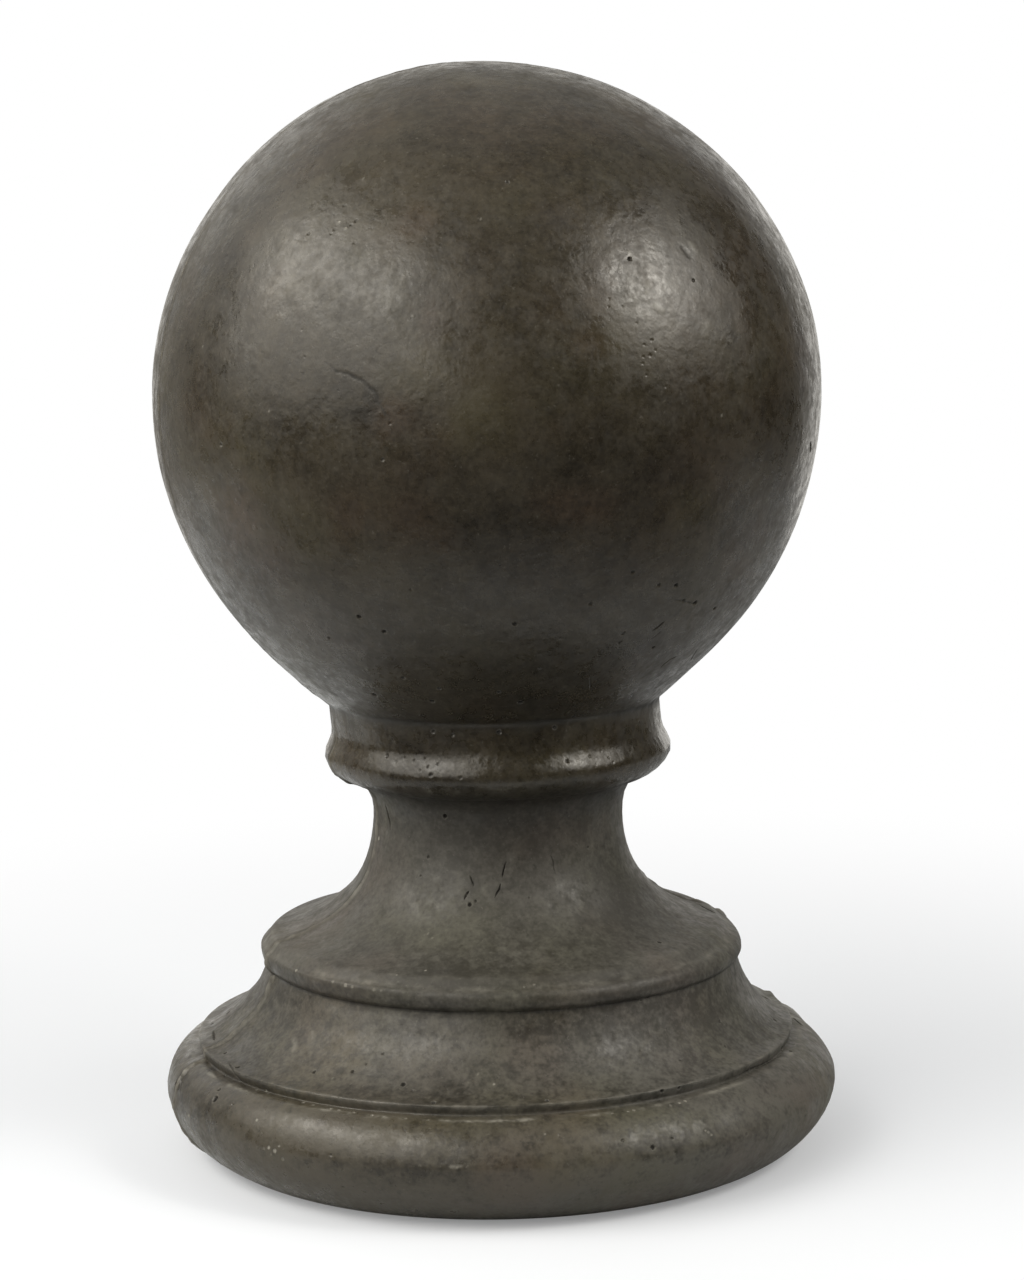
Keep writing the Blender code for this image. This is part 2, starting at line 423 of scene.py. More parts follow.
# Air-bubble pits: pixel x, y, radius and depth in millimetres.
PITS = (
    # ball, in and about the right-hand sheen
    (629.6, 258.9, 0.85, 0.95), (693.5, 280.3, 0.75, 0.55), (609.0, 298.7, 0.50, 0.18),
    (608.5, 307.0, 0.50, 0.18), (622.0, 306.3, 0.46, 0.15), (636.5, 323.0, 0.55, 0.18),
    (665.6, 386.7, 0.67, 0.22), (646.5, 375.2, 0.58, 0.18), (651.8, 340.0, 0.75, 0.25),
    (644.2, 344.6, 0.67, 0.22), (650.3, 355.3, 0.79, 0.27), (643.4, 356.8, 0.58, 0.20),
    (655.4, 350.2, 0.62, 0.22), (642.7, 363.5, 0.58, 0.18), (507.5, 182.0, 0.90, 0.50),
    # ball, left-hand sheen
    (356.0, 221.0, 0.85, 0.39), (351.0, 224.8, 0.65, 0.32), (334.4, 229.4, 0.75, 0.32),
    (308.6, 233.6, 0.75, 0.28), (344.4, 205.7, 0.75, 0.32), (354.3, 243.0, 0.65, 0.28),
    (331.0, 233.5, 0.60, 0.24), (302.0, 330.0, 0.52, 0.17), (304.5, 357.0, 0.60, 0.17),
    # ball, middle and lower half
    (390.0, 423.7, 0.69, 0.32), (382.5, 459.5, 0.80, 0.45), (221.0, 445.0, 0.80, 0.50),
    (359.0, 617.0, 1.10, 0.95), (384.2, 631.9, 1.05, 0.90), (515.0, 624.2, 1.00, 0.75),
    (329.0, 638.0, 0.80, 0.50), (403.0, 678.0, 0.95, 0.70), (374.5, 695.0, 1.15, 0.95),
    (432.0, 701.3, 1.10, 0.95), (439.0, 688.5, 0.85, 0.60), (499.0, 692.0, 0.95, 0.70),
    (520.5, 702.3, 1.25, 1.10), (574.0, 716.6, 1.05, 0.85), (554.8, 727.6, 0.95, 0.70),
    (499.0, 732.2, 0.95, 0.75), (433.4, 731.5, 0.90, 0.65), (453.0, 734.8, 0.75, 0.50),
    (590.5, 604.0, 0.95, 0.50), (632.6, 572.4, 1.05, 0.55), (659.0, 585.0, 0.95, 0.60),
    (676.2, 585.6, 1.15, 0.95), (683.5, 600.5, 0.95, 0.55), (695.0, 603.0, 1.30, 0.90),
    (714.5, 608.3, 0.95, 0.65), (653.3, 647.4, 0.95, 0.65), (623.4, 633.6, 0.95, 0.55),
    (619.6, 642.8, 0.85, 0.55), (410.5, 590.0, 0.70, 0.40), (540.0, 668.0, 0.80, 0.45),
    # collar
    (567.4, 761.3, 0.78, 0.55), (387.0, 755.5, 0.90, 0.55), (431.0, 775.0, 0.95, 0.60),
    (460.3, 777.7, 0.80, 0.55), (404.5, 758.0, 0.60, 0.35), (413.5, 761.0, 0.65, 0.40),
    (424.5, 759.5, 0.60, 0.35), (428.0, 766.5, 0.65, 0.40), (420.0, 770.5, 0.55, 0.35),
    (438.0, 764.0, 0.60, 0.35), (396.0, 762.0, 0.55, 0.30), (590.0, 756.5, 0.60, 0.35),
    (601.0, 751.0, 0.55, 0.30), (609.0, 757.5, 0.60, 0.35), (613.0, 762.0, 0.50, 0.30),
    # neck
    (445.0, 816.2, 1.15, 1.00), (428.4, 857.2, 0.80, 0.50), (588.0, 847.5, 0.65, 0.40),
    (469.8, 904.6, 1.00, 0.80), (475.6, 901.0, 0.70, 0.50), (529.0, 898.0, 0.60, 0.35),
    # flare and rim
    (659.6, 942.0, 1.05, 0.80), (420.5, 876.0, 0.65, 0.40), (553.0, 954.0, 0.60, 0.30),
    (648.0, 997.0, 0.70, 0.45), (641.0, 1000.5, 0.60, 0.40),
    # hollow moulding and arris
    (237.7, 1067.0, 1.25, 1.10), (225.2, 1053.0, 0.95, 0.80), (314.0, 1072.0, 0.95, 0.75),
    (352.2, 1071.4, 0.95, 0.70), (366.0, 1064.0, 0.60, 0.40), (402.9, 1084.3, 1.15, 1.00),
    (383.0, 1053.5, 0.60, 0.40), (433.5, 1102.6, 1.05, 0.85), (719.9, 1021.2, 0.85, 0.60),
    (775.0, 1020.2, 1.05, 0.90), (725.4, 1046.3, 0.80, 0.50), (680.0, 1060.0, 0.65, 0.40),
    (662.0, 1091.0, 1.00, 0.85), (678.8, 1088.0, 0.85, 0.70), (547.5, 1100.6, 0.90, 0.65),
    (781.7, 1048.6, 1.40, 1.10), (790.5, 1051.0, 0.90, 0.70), (412.0, 1090.5, 0.60, 0.40),
    (497.5, 1078.0, 0.60, 0.35), (640.0, 1051.0, 0.60, 0.35),
    # base
    (215.4, 1098.8, 1.60, 1.35), (219.0, 1089.6, 0.95, 0.75), (232.5, 1105.0, 0.75, 0.50),
    (225.2, 1076.0, 0.85, 0.55), (652.9, 1147.4, 1.00, 0.80), (622.8, 1140.7, 0.80, 0.50),
    (746.5, 1134.0, 0.80, 0.45), (672.0, 1138.5, 0.60, 0.35), (331.0, 1155.0, 0.70, 0.40),
    (343.0, 1187.0, 0.70, 0.40), (560.0, 1135.0, 0.60, 0.30),
)

# Pale specks: grains of aggregate at the skin and tiny chips that show light
# concrete. Pixel x, y, radius in millimetres, height (+) or depth (-), paleness.
SPECKS = (
    (339.4, 221.6, 0.75, 0.10, 0.9), (345.5, 228.4, 0.95, 0.12, 0.9),
    (363.5, 178.3, 0.60, 0.06, 0.8), (413.0, 316.0, 0.70, 0.10, 1.0),
    (268.9, 411.3, 0.75, 0.08, 0.8), (194.9, 258.5, 0.80, 0.10, 0.8),
    (202.5, 347.0, 0.70, 0.08, 0.8), (292.0, 275.0, 1.10, 0.05, 0.6),
    (629.0, 252.5, 1.10, 0.05, 0.5), (721.5, 415.8, 0.75, 0.08, 0.8),
    (646.5, 292.5, 1.10, 0.06, 0.7), (480.5, 219.0, 0.55, 0.05, 0.5),
    (379.0, 838.5, 1.10, 0.25, 0.9), (296.6, 970.4, 1.10, 0.15, 0.9),
    (425.6, 970.4, 0.65, 0.08, 0.8), (396.6, 975.0, 0.60, 0.05, 0.6),
    (494.0, 1084.2, 0.75, 0.08, 1.0), (478.0, 1074.0, 0.60, 0.05, 0.6),
    (231.8, 1086.8, 0.70, 0.08, 0.8), (266.5, 1091.0, 0.75, 0.08, 0.8),
    (256.9, 1120.3, 0.95, 0.10, 0.9), (189.5, 1116.0, 1.10, 0.15, 0.8),
    (623.3, 1140.0, 0.50, 0.0, 0.4), (545.0, 1134.0, 0.55, 0.05, 0.6),
    (332.8, 1078.0, 0.60, 0.05, 0.6), (428.0, 933.5, 0.60, 0.05, 0.5),
    (276.0, 922.0, 0.80, 0.06, 0.6), (432.5, 938.0, 0.55, 0.05, 0.5),
    (268.6, 1147.4, 1.15, -0.45, 1.0), (274.6, 1150.8, 1.25, -0.55, 1.0),
    (270.6, 1154.2, 0.80, -0.35, 0.8), (282.4, 1159.0, 1.00, -0.45, 0.9),
    (264.0, 1148.6, 0.70, -0.25, 0.7), (279.0, 1146.0, 0.70, -0.25, 0.7),
    (708.4, 1132.3, 0.80, -0.20, 0.8), (711.4, 1134.6, 0.75, -0.20, 0.8),
    (705.4, 1130.6, 0.60, -0.15, 0.7),
    (685.3, 1101.0, 1.00, -0.25, 0.9), (679.5, 1103.0, 0.80, -0.20, 0.8),
    (670.8, 1105.4, 1.00, -0.25, 0.8), (634.0, 1110.2, 0.95, -0.25, 0.8),
    (628.0, 1111.5, 0.75, -0.20, 0.7), (612.0, 1113.6, 0.70, -0.15, 0.6),
    (303.0, 1102.6, 0.95, -0.25, 0.8), (313.0, 1105.0, 0.85, -0.25, 0.8),
    (331.0, 1108.6, 1.10, -0.30, 0.9), (338.6, 1110.2, 1.05, -0.30, 0.9),
    (354.0, 1112.6, 0.80, -0.20, 0.8), (372.0, 1115.2, 0.95, -0.25, 0.8),
    (383.0, 1116.2, 0.75, -0.20, 0.7), (405.5, 1118.4, 1.00, -0.25, 0.8),
    (428.0, 1120.0, 0.75, -0.15, 0.7), (256.5, 1089.8, 0.90, -0.20, 0.7),
    (268.0, 1093.5, 0.75, -0.15, 0.7), (333.0, 981.8, 0.90, 0.0, 0.7),
    (345.5, 985.0, 1.10, 0.0, 0.8), (352.0, 986.6, 0.90, 0.0, 0.7),
    (374.0, 989.6, 0.95, 0.0, 0.8), (381.0, 990.6, 0.75, 0.0, 0.7),
    (534.0, 984.6, 0.75, 0.06, 0.6), (524.0, 987.0, 0.65, 0.05, 0.5),
)

# Lines cut or cracked into the surface: the pixels they pass through, width
# and depth in millimetres, and how dark they are inside. The dark inside is
# painted shade in the cut, and along the crack on the ball also staining.
CUTS = (
    # crack at the left of the neck, opening downwards
    (((381.5, 787.0), (383.6, 796.0), (385.4, 806.0)), 0.55, 0.45, 0.8),
    (((385.0, 804.0), (387.4, 813.5), (389.4, 820.5), (390.4, 829.5)), 1.15, 1.10, 1.0),
    # scratches on the neck
    (((506.2, 862.0), (504.0, 868.5), (502.0, 877.5)), 0.85, 0.65, 1.0),
    (((500.6, 883.5), (499.6, 889.0), (496.8, 893.0), (495.0, 897.5)), 0.95, 0.70, 1.0),
    (((469.6, 875.5), (472.0, 881.0), (474.0, 886.4)), 0.75, 0.55, 0.9),
    (((469.2, 890.8), (466.0, 895.0), (464.2, 899.6)), 0.95, 0.70, 1.0),
    (((550.6, 855.0), (553.2, 862.0), (553.6, 868.0), (555.4, 874.5)), 0.75, 0.30, 0.6),
    # fine crack across the left of the ball
    (((327.8, 362.4), (336.0, 371.5), (347.7, 373.3), (352.7, 376.3), (362.6, 380.8),
      (369.3, 387.3), (375.9, 393.9), (378.4, 403.0), (384.0, 412.0), (389.0, 420.0)),
     1.55, 0.20, 0.95),
    (((374.0, 356.0), (379.0, 347.5), (386.0, 343.2), (392.0, 342.4)), 0.80, 0.05, 0.25),
    # short marks on the lower right of the ball
    (((651.5, 630.8), (657.5, 627.4), (665.4, 620.6)), 1.15, 0.55, 0.8),
    (((650.0, 639.0), (655.0, 636.4), (662.0, 630.0)), 0.75, 0.25, 0.5),
    (((659.5, 668.5), (664.0, 664.0), (670.0, 659.5), (678.0, 655.5)), 0.85, 0.35, 0.6),
    (((689.5, 662.0), (694.0, 654.5), (698.0, 648.0)), 0.80, 0.30, 0.5),
    (((590.0, 676.0), (590.6, 690.0)), 0.80, 0.25, 0.5),
    (((673.0, 599.4), (684.0, 601.4), (694.0, 603.4)), 0.80, 0.30, 0.5),
    # dent beside the right-hand sheen
    (((680.0, 244.5), (686.5, 252.5), (693.0, 259.6)), 3.20, 0.30, 0.45),
    # nicks in the right side of the ball and in the far seam
    (((810.2, 441.5), (810.8, 452.5)), 1.60, 0.75, 0.9),
    (((761.5, 995.6), (770.0, 999.6)), 1.50, 1.00, 1.0),
    (((793.5, 1018.0), (802.0, 1025.5)), 1.40, 0.80, 0.9),
    (((699.0, 905.0), (708.0, 909.5), (717.5, 914.0)), 1.20, 0.60, 0.8),
    # the sunk line above the base breaks up at the right
    (((742.0, 1073.0), (764.0, 1064.0), (781.0, 1055.5)), 1.60, 0.35, 0.7),
    # pocks in a row under the left edge of the hollow moulding
    (((229.0, 1063.0), (236.0, 1075.5), (245.0, 1085.0)), 1.40, 0.40, 0.8),
    # foot of the seam where it crosses the base
    (((213.2, 1030.0), (214.4, 1042.0)), 1.30, 0.80, 0.8),
    (((184.6, 1073.0), (181.4, 1081.0), (180.2, 1093.0)), 1.20, 0.50, 0.7),
)

# Bright streaks that stand a little proud: rubbed marks, and on the right-hand
# sheen of the ball bright spots painted pale, which are painted highlights.
RUBS_AND_PAINTED_GLINTS = (
    (((687.0, 239.0), (693.0, 247.0), (699.5, 255.5)), 3.00, 0.12, 0.35),
    (((708.5, 320.0), (706.5, 329.0), (702.5, 338.0)), 3.80, 0.14, 0.40),
    (((649.0, 280.0), (646.5, 293.5)), 2.60, 0.10, 0.50),
    (((651.0, 302.5), (659.0, 308.0), (666.5, 312.5)), 2.80, 0.10, 0.50),
    (((448.0, 1166.6), (456.0, 1167.0), (463.5, 1166.2)), 1.30, 0.05, 0.85),
    (((293.5, 1036.5), (294.6, 1045.0), (291.5, 1054.0)), 2.60, 0.05, 0.45),
    (((312.0, 1029.0), (312.8, 1040.0)), 1.20, 0.05, 0.35),
    (((543.0, 75.6), (570.0, 72.4)), 2.20, 0.05, 0.35),
    (((300.0, 1124.0), (306.0, 1130.0)), 2.40, 0.05, 0.30),
)

# Soft stains, painted highlights and painted shade by their place in the frame:
# x, y, half-width, half-height in pixels, then how strong. Warm is a brown-red
# cast, olive a green one.
WARM = (
    (395, 415, 24, 22, 0.8), (350, 518, 20, 28, 0.7), (412, 515, 34, 30, 0.7),
    (442, 540, 18, 14, 0.6), (582, 506, 50, 22, 0.9), (758, 531, 12, 16, 0.7),
    (745, 570, 16, 18, 0.6), (418, 222, 24, 22, 0.6), (431, 316, 12, 38, 0.6),
    (240, 520, 22, 46, 0.8), (268, 560, 22, 26, 0.6), (600, 285, 18, 36, 0.5),
    (652, 272, 14, 14, 0.5), (668, 295, 18, 14, 0.4), (480, 120, 40, 24, 0.4),
    (585, 345, 22, 18, 0.6), (735, 560, 14, 40, 0.5),
)
OLIVE = (
    (472, 415, 34, 34, 0.5), (693, 503, 36, 24, 0.7), (419, 369, 38, 36, 0.6),
    (357, 258, 14, 12, 0.8), (395, 300, 16, 34, 0.4), (600, 195, 40, 30, 0.5),
    (640, 1120, 90, 16, 0.6), (450, 1128, 70, 14, 0.4), (560, 940, 60, 40, 0.3),
    (480, 80, 60, 14, 0.4),
)
# mostly painted shade: under the ball and the collar, on the neck, the flare's foot and the top of the
# hollow, and over sheens that came out too bright; the smear on the crown and the stain along the crack are
# real stains
DARK_STAINS_AND_PAINTED_SHADE = (
    (480, 66, 20, 4, 0.9), (361, 413, 18, 9, 0.8), (372, 398, 10, 14, 0.7),
    (620, 460, 90, 40, 0.45),
    (450, 445, 60, 40, 0.2), (560, 380, 50, 60, 0.2), (520, 730, 120, 26, 0.3),
    (500, 790, 110, 14, 0.35), (520, 250, 50, 90, 0.25), (780, 400, 16, 80, 0.3),
    (500, 835, 100, 55, 0.60), (630, 1020, 105, 30, 1.4), (612, 902, 46, 46, 0.85), (240, 385, 30, 35, 0.35),
    (732, 520, 28, 40, 0.45),
    (525, 980, 130, 20, 0.75),
    (232, 255, 30, 80, 0.4), (760, 1075, 40, 10, 0.4),
    (260, 1085, 30, 10, 0.4), (715, 1135, 70, 24, 0.5), (630, 1040, 60, 24, 0.5),
    (615, 900, 45, 36, 0.85), (540, 981, 180, 15, 0.95), (640, 480, 60, 60, 0.2),
    (500, 870, 60, 20, 0.3),
)
# mostly painted highlights on the sheens of the ball, the flare, the hollow and the base; a few are pale
# patches of the casting
PALE_PATCHES_AND_PAINTED_HIGHLIGHTS = (
    (463, 80, 26, 8, 0.5), (468, 408, 34, 40, 1.0), (300, 610, 34, 60, 0.35),
    (430, 920, 60, 26, 0.5), (430, 1055, 60, 24, 0.4), (200, 1110, 16, 40, 0.3),
    (800, 1110, 30, 40, 0.4), (700, 640, 50, 40, 0.3), (640, 1050, 60, 24, 0.3),
    (640, 90, 50, 22, 0.4), (430, 372, 26, 22, 0.6), (320, 1130, 100, 28, 1.2), (298, 1138, 50, 24, 0.4),
    (385, 1060, 55, 28, 0.45), (650, 345, 60, 28, 0.55), (485, 374, 36, 30, 0.60),
    (325, 495, 110, 80, 0.60), (480, 430, 70, 70, 0.45),
    (392, 205, 60, 48, 0.70), (290, 940, 60, 34, 0.6),
)


def spread(pixels, surface, gap=0.25 * MM):
    """Points on the surface along a line of pixels, and each one's share of it."""
    found = []
    for (x0, y0), (x1, y1) in zip(pixels, pixels[1:]):
        steps = max(2, int(math.hypot(x1 - x0, y1 - y0) * 0.45 * MM / gap))
        for i in range(steps + 1):
            point = surface.at(x0 + (x1 - x0) * i / steps, y0 + (y1 - y0) * i / steps)
            if point is not None:
                found.append(point)
    found = np.array(found)
    return found, np.linspace(0.0, 1.0, len(found))


def plain_marks(count, seed):
    """Pits for the sides that the photograph doesn't show."""
    dice = np.random.default_rng(seed)
    marks = []
    while len(marks) < count:
        turn = dice.uniform(math.radians(80), math.radians(280))
        along = dice.uniform(OUTLINE.foot_edge, OUTLINE.along[-1] * 0.99)
        radius = np.interp(along, OUTLINE.along, OUTLINE.radius)
        if dice.uniform() > radius / BASE_RADIUS:
            continue
        size = dice.uniform(0.7, 1.0) * dice.choice((0.9, 1.1, 1.5))
        point, _ = skin(np.array([turn]), np.array([along]))
        marks.append((point[0], size * MM, size * dice.uniform(0.5, 0.9) * MM))
    return marks


class Marks:
    """Every mark on the casting, in metres, on the unmarked surface."""

    def __init__(self):
        surface = Surface()
        self.pits, self.specks, self.cuts, self.rubs_and_painted_glints = [], [], [], []
        for x, y, radius, depth in PITS:
            point = surface.at(x, y)
            if point is not None:
                self.pits.append((np.array(point), radius * MM, depth * MM))
        self.pits += plain_marks(34, 12)
        for x, y, radius, rise, pale in SPECKS:
            point = surface.at(x, y)
            if point is not None:
                self.specks.append((np.array(point), radius * MM, rise * MM, pale))
        for store, lines in ((self.cuts, CUTS), (self.rubs_and_painted_glints, RUBS_AND_PAINTED_GLINTS)):
            for pixels, width, depth, shade in lines:
                points, share = spread(pixels, surface)
                if len(points):
                    store.append((points, share, width * MM, depth * MM, shade))

    def centres(self):
        """Centre, reach and wanted face size of every mark, for refining."""
        spots, reach, face = [], [], []
        for point, radius, _ in self.pits:
            spots.append(point[None]); reach.append([radius * 1.12])
            face.append([0.40 * MM])
        for point, radius, rise, light in self.specks:
            spots.append(point[None]); reach.append([radius])
            face.append([0.40 * MM if rise < 0 or light > 0.85 else 0.80 * MM])
        for points, _, width, _, _ in self.cuts:
            spots.append(points); reach.append([width * 0.6] * len(points))
            face.append([(0.40 if width < 1.3 * MM else 0.80) * MM] * len(points))
        for points, _, width, _, _ in self.rubs_and_painted_glints:
            spots.append(points); reach.append([width * 0.8] * len(points))
            face.append([0.75 * MM] * len(points))
        return np.concatenate(spots), np.concatenate(reach), np.concatenate(face)


# ------------------------------------------------------------ mesh
class Mesh:
    """A grid round the axis whose faces are halved again and again near marks.

    Faces are named by level, column and row. Neighbours never differ by more
    than one level, and a face beside finer ones is filled by a fan of
    triangles from its middle, so the skin stays closed.
    """

    def __init__(self, marks):
        self.rows = OUTLINE.rows()
        self.columns = np.linspace(0.0, math.tau, COLUMNS + 1) + SEAMS[0]
        self.unit = 2 ** FINEST
        self.split = self.choose(marks)
        self.balance()
        self.make_faces()

    def place(self, column, row):
        """Turn and length along the outline at fine grid numbers."""
        turn = np.interp(column / self.unit, np.arange(COLUMNS + 1), self.columns)
        along = np.interp(row / self.unit, np.arange(len(self.rows)), self.rows)
        return turn, along

    def choose(self, marks):
        """Which faces to halve, level by level."""
        spots, reach, face = marks.centres()
        split = [set() for _ in range(FINEST)]
        column, row = np.meshgrid(np.arange(COLUMNS), np.arange(1, len(self.rows) - 2))
        column, row = column.ravel(), row.ravel()
        for level in range(FINEST):
            q = 2 ** (FINEST - level)
            turn, along = self.place((column + 0.5) * q, (row + 0.5) * q)
            _, low = self.place(column * q, row * q)
            _, high = self.place(column * q, (row + 1) * q)
            points, _ = skin(turn, along)
            radius = np.interp(along, OUTLINE.along, OUTLINE.radius)
            wide = radius * math.tau / COLUMNS / 2 ** level
            tall = high - low
            size = np.maximum(wide, tall)
            half = 0.5 * np.hypot(wide, tall)
            wanted = np.full(len(points), 1.0)
            for start in range(0, len(points), 4096):
                part = slice(start, start + 4096)
                gap = np.sqrt(np.maximum(
                    (points[part] ** 2).sum(1)[:, None] + (spots ** 2).sum(1)[None]
                    - 2.0 * points[part] @ spots.T, 0.0))
                hit = gap < reach[None] + 0.8 * half[part][:, None]
                wanted[part] = np.where(hit, face[None], 1.0).min(1)
            for seam, fine, reach_off in zip(SEAMS, (1.1 * MM, 3.0 * MM), (2.1, 1.2)):
                off = np.abs(turn_gap(turn, seam)) * radius
                near = ((off < reach_off * MM + 0.2 * wide)
                        & (along > OUTLINE.foot_edge - 0.002))
                wanted = np.where(near, np.minimum(wanted, fine), wanted)
            chosen = size > wanted * 1.25
            column, row = column[chosen], row[chosen]
            split[level].update(zip(column.tolist(), row.tolist()))
            column = np.concatenate([2 * column + a for a in (0, 1) for _ in (0, 1)])
            row = np.concatenate([2 * row + b for _ in (0, 1) for b in (0, 1)])
        return split

    def balance(self):
        last = len(self.rows) - 1
        for level in range(FINEST - 1, 0, -1):
            across = COLUMNS * 2 ** level
            for column, row in list(self.split[level]):
                for a, b in ((0, 0), (-1, 0), (1, 0), (0, -1), (0, 1)):
                    near = (((column + a) % across) // 2, (row + b) // 2)
                    if 1 <= near[1] // 2 ** (level - 1) < last - 1:
                        self.split[level - 1].add(near)

    def make_faces(self):
        last = (len(self.rows) - 1) * self.unit
        around = COLUMNS * self.unit
        numbers, places, faces = {}, [], []

        def corner(column, row):
            key = (0 if row in (0, last) else column % around, row)
            if key not in numbers:
                numbers[key] = len(places)
                places.append(key)
            return numbers[key]

        for level in range(FINEST + 1):
            q = 2 ** (FINEST - level)
            across = COLUMNS * 2 ** level
            finer = self.split[level] if level < FINEST else set()
            if level == 0:
                cells = ((i, j) for j in range(len(self.rows) - 1)
                         for i in range(COLUMNS))
            else:
                cells = ((2 * i + a, 2 * j + b) for i, j in sorted(self.split[level - 1])
                         for b in (0, 1) for a in (0, 1))
            for i, j in cells:
                if (i, j) in finer:
                    continue
                a, b, c, d = i * q, (i + 1) * q, j * q, (j + 1) * q
                ring = [corner(a, c)]
                if ((i), j - 1) in finer:
                    ring.append(corner(a + q // 2, c))
                ring.append(corner(b, c))
                if ((i + 1) % across, j) in finer:
                    ring.append(corner(b, c + q // 2))
                ring.append(corner(b, d))
                if ((i), j + 1) in finer:
                    ring.append(corner(a + q // 2, d))
                ring.append(corner(a, d))
                if ((i - 1) % across, j) in finer:
                    ring.append(corner(a, c + q // 2))
                if len(ring) == 4:
                    if c == 0:
                        ring = ring[1:]
                    elif d == last:
                        ring = ring[:3]
                    faces.append(tuple(ring))
                else:
                    middle = corner(a + q // 2, c + q // 2)
                    for k in range(len(ring)):
                        faces.append((ring[k], ring[(k + 1) % len(ring)], middle))
        grid = np.array(places, float)
        self.turn, self.along = self.place(grid[:, 0], grid[:, 1])
        self.faces = faces


def carve(mesh, marks):
    """Final points, and per point: pale, dark, rough, warm, olive, shade."""
    base, facing = skin(mesh.turn, mesh.along)
    count = len(base)
    rise = np.zeros(count)
    pale, dark, rough = np.zeros(count), np.zeros(count), np.zeros(count)
    radius = np.interp(mesh.along, OUTLINE.along, OUTLINE.radius)
    height = np.interp(mesh.along, OUTLINE.along, OUTLINE.height)

    # mould seam: a low, broken fin with a fine line beside it; the fin is made
    # paler, partly rubbed concrete and partly painted highlight, and the line darker
    # as the painted shadow of the fin
    for k, seam in enumerate(SEAMS):
        wander = 0.30 * MM * hills(base, 0.030, 21.0 + k)
        off = turn_gap(mesh.turn, seam) * radius + wander
        near = np.abs(off) < 15 * MM
        broken = np.zeros(count)
        broken[near] = (0.60 + 0.55 * hills(base[near], 0.0075, 31.0 + k)
                        + 0.45 * hills(base[near], 0.0032, 41.0 + k))
        low = step_up(0.205, 0.17, height)
        tall = (0.50 + 0.75 * low + 0.75 * np.exp(-((height - 0.082) / 0.028) ** 2)) * MM
        live = (step_up(0.5 * MM, 3 * MM, height) * step_up(0.004, 0.02, radius)
                * np.clip(broken, 0.05, 1.3))
        fin = np.exp(-((off - 0.15 * MM) / ((0.75 + 0.40 * low) * MM)) ** 2)
        line = np.exp(-((off + 1.45 * MM) / ((0.70 + 0.20 * low) * MM)) ** 2)
        rise += live * (tall * fin - 0.6 * tall * line)
        # the halves didn't meet quite true below the ball
        rise[near] += (0.50 * MM * low * step_up(1.0 * MM, -1.0 * MM, off)
                       * step_up(-14 * MM, -3 * MM, off) * step_up(0.5 * MM, 3 * MM, height))[near]
        pale = np.maximum(pale, 0.80 * live * fin * (0.75 + 0.25 * low))
        dark = np.maximum(dark, 0.95 * np.clip(live, 0, 1) * line)

    for k, (centre, size, depth) in enumerate(marks.pits):
        gap = np.sqrt(((base - centre) ** 2).sum(1))
        near = np.nonzero(gap < 2.2 * size)[0]
        if not len(near):
            continue
        uneven = 1.0 + 0.22 * hills(base[near], size * 1.1, 3.0 * k)
        t = gap[near] / (size * uneven)
        bowl = np.sqrt(np.clip(1.0 - t * t, 0.0, 1.0)) ** 0.8
        lip = np.exp(-((t - 1.15) / 0.25) ** 2)
        rise[near] -= depth * bowl
        # painted shade: the deeper a pit, the darker its inside
        black = min(max((depth / MM - 0.22) / 0.60, 0.08), 1.0)
        dark[near] = np.maximum(dark[near], black * step_up(1.12, 0.72, t))
        pale[near] = np.maximum(pale[near], 0.22 * lip * black)

    for k, (centre, size, up, light) in enumerate(marks.specks):
        gap = np.sqrt(((base - centre) ** 2).sum(1))
        near = np.nonzero(gap < 2.0 * size)[0]
        if not len(near):
            continue
        uneven = 1.0 + 0.30 * hills(base[near], size, 5.0 * k + 1.0)
        t = gap[near] / (size * uneven)
        bump = step_up(1.05, 0.35, t)
        if up < 0:
            bump = bump * (0.75 + 0.5 * hills(base[near], size * 0.6, 9.0 * k))
        rise[near] += up * bump
        pale[near] = np.maximum(pale[near], light * step_up(1.0, 0.55, t))

    for k, (points, share, width, depth, shade) in enumerate(marks.cuts + marks.rubs_and_painted_glints):
        cut = k < len(marks.cuts)
        middle, reach = points.mean(0), 0.0
        reach = np.sqrt(((points - middle) ** 2).sum(1)).max() + 2.5 * width
        near = np.nonzero(((base - middle) ** 2).sum(1) < reach ** 2)[0]
        if not len(near):
            continue
        gaps = ((base[near][:, None] - points[None]) ** 2).sum(2)
        best = gaps.argmin(1)
        gap = np.sqrt(gaps[np.arange(len(near)), best])
        ends = np.clip(np.sin(math.pi * np.clip(share[best], 0.03, 0.97)) * 1.6, 0.0, 1.0)
        uneven = 1.0 + 0.35 * hills(base[near], max(width * 1.6, 1.2 * MM), 2.0 * k + 0.5)
        t = gap / (0.5 * width * np.sqrt(ends) * uneven)
        if cut:
            # painted shade inside cuts and the dent, with staining along the ball's crack
            rise[near] -= depth * ends * step_up(1.15, 0.15, t)
            ragged = np.clip(0.85 + 0.9 * hills(base[near], 1.7 * MM, 7.0 * k), 0.2, 1.0)
            dark[near] = np.maximum(dark[near], shade * ragged * step_up(1.25, 0.5, t))
        else:
            rise[near] += depth * ends * step_up(1.9, 0.0, t)
            pale[near] = np.maximum(pale[near], shade * ends * step_up(1.8, 0.3, t))

    # the collar's lower lip stands a little proud
    lip = np.exp(-((mesh.along - OUTLINE.creases[8] - 12.4 * MM) / (1.5 * MM)) ** 2)
    band = lip > 1e-3
    rise[band] += 0.52 * MM * lip[band] * np.clip(0.8 + 0.7 * hills(base[band], 0.016, 91.0),
                                                  0.2, 1.2)

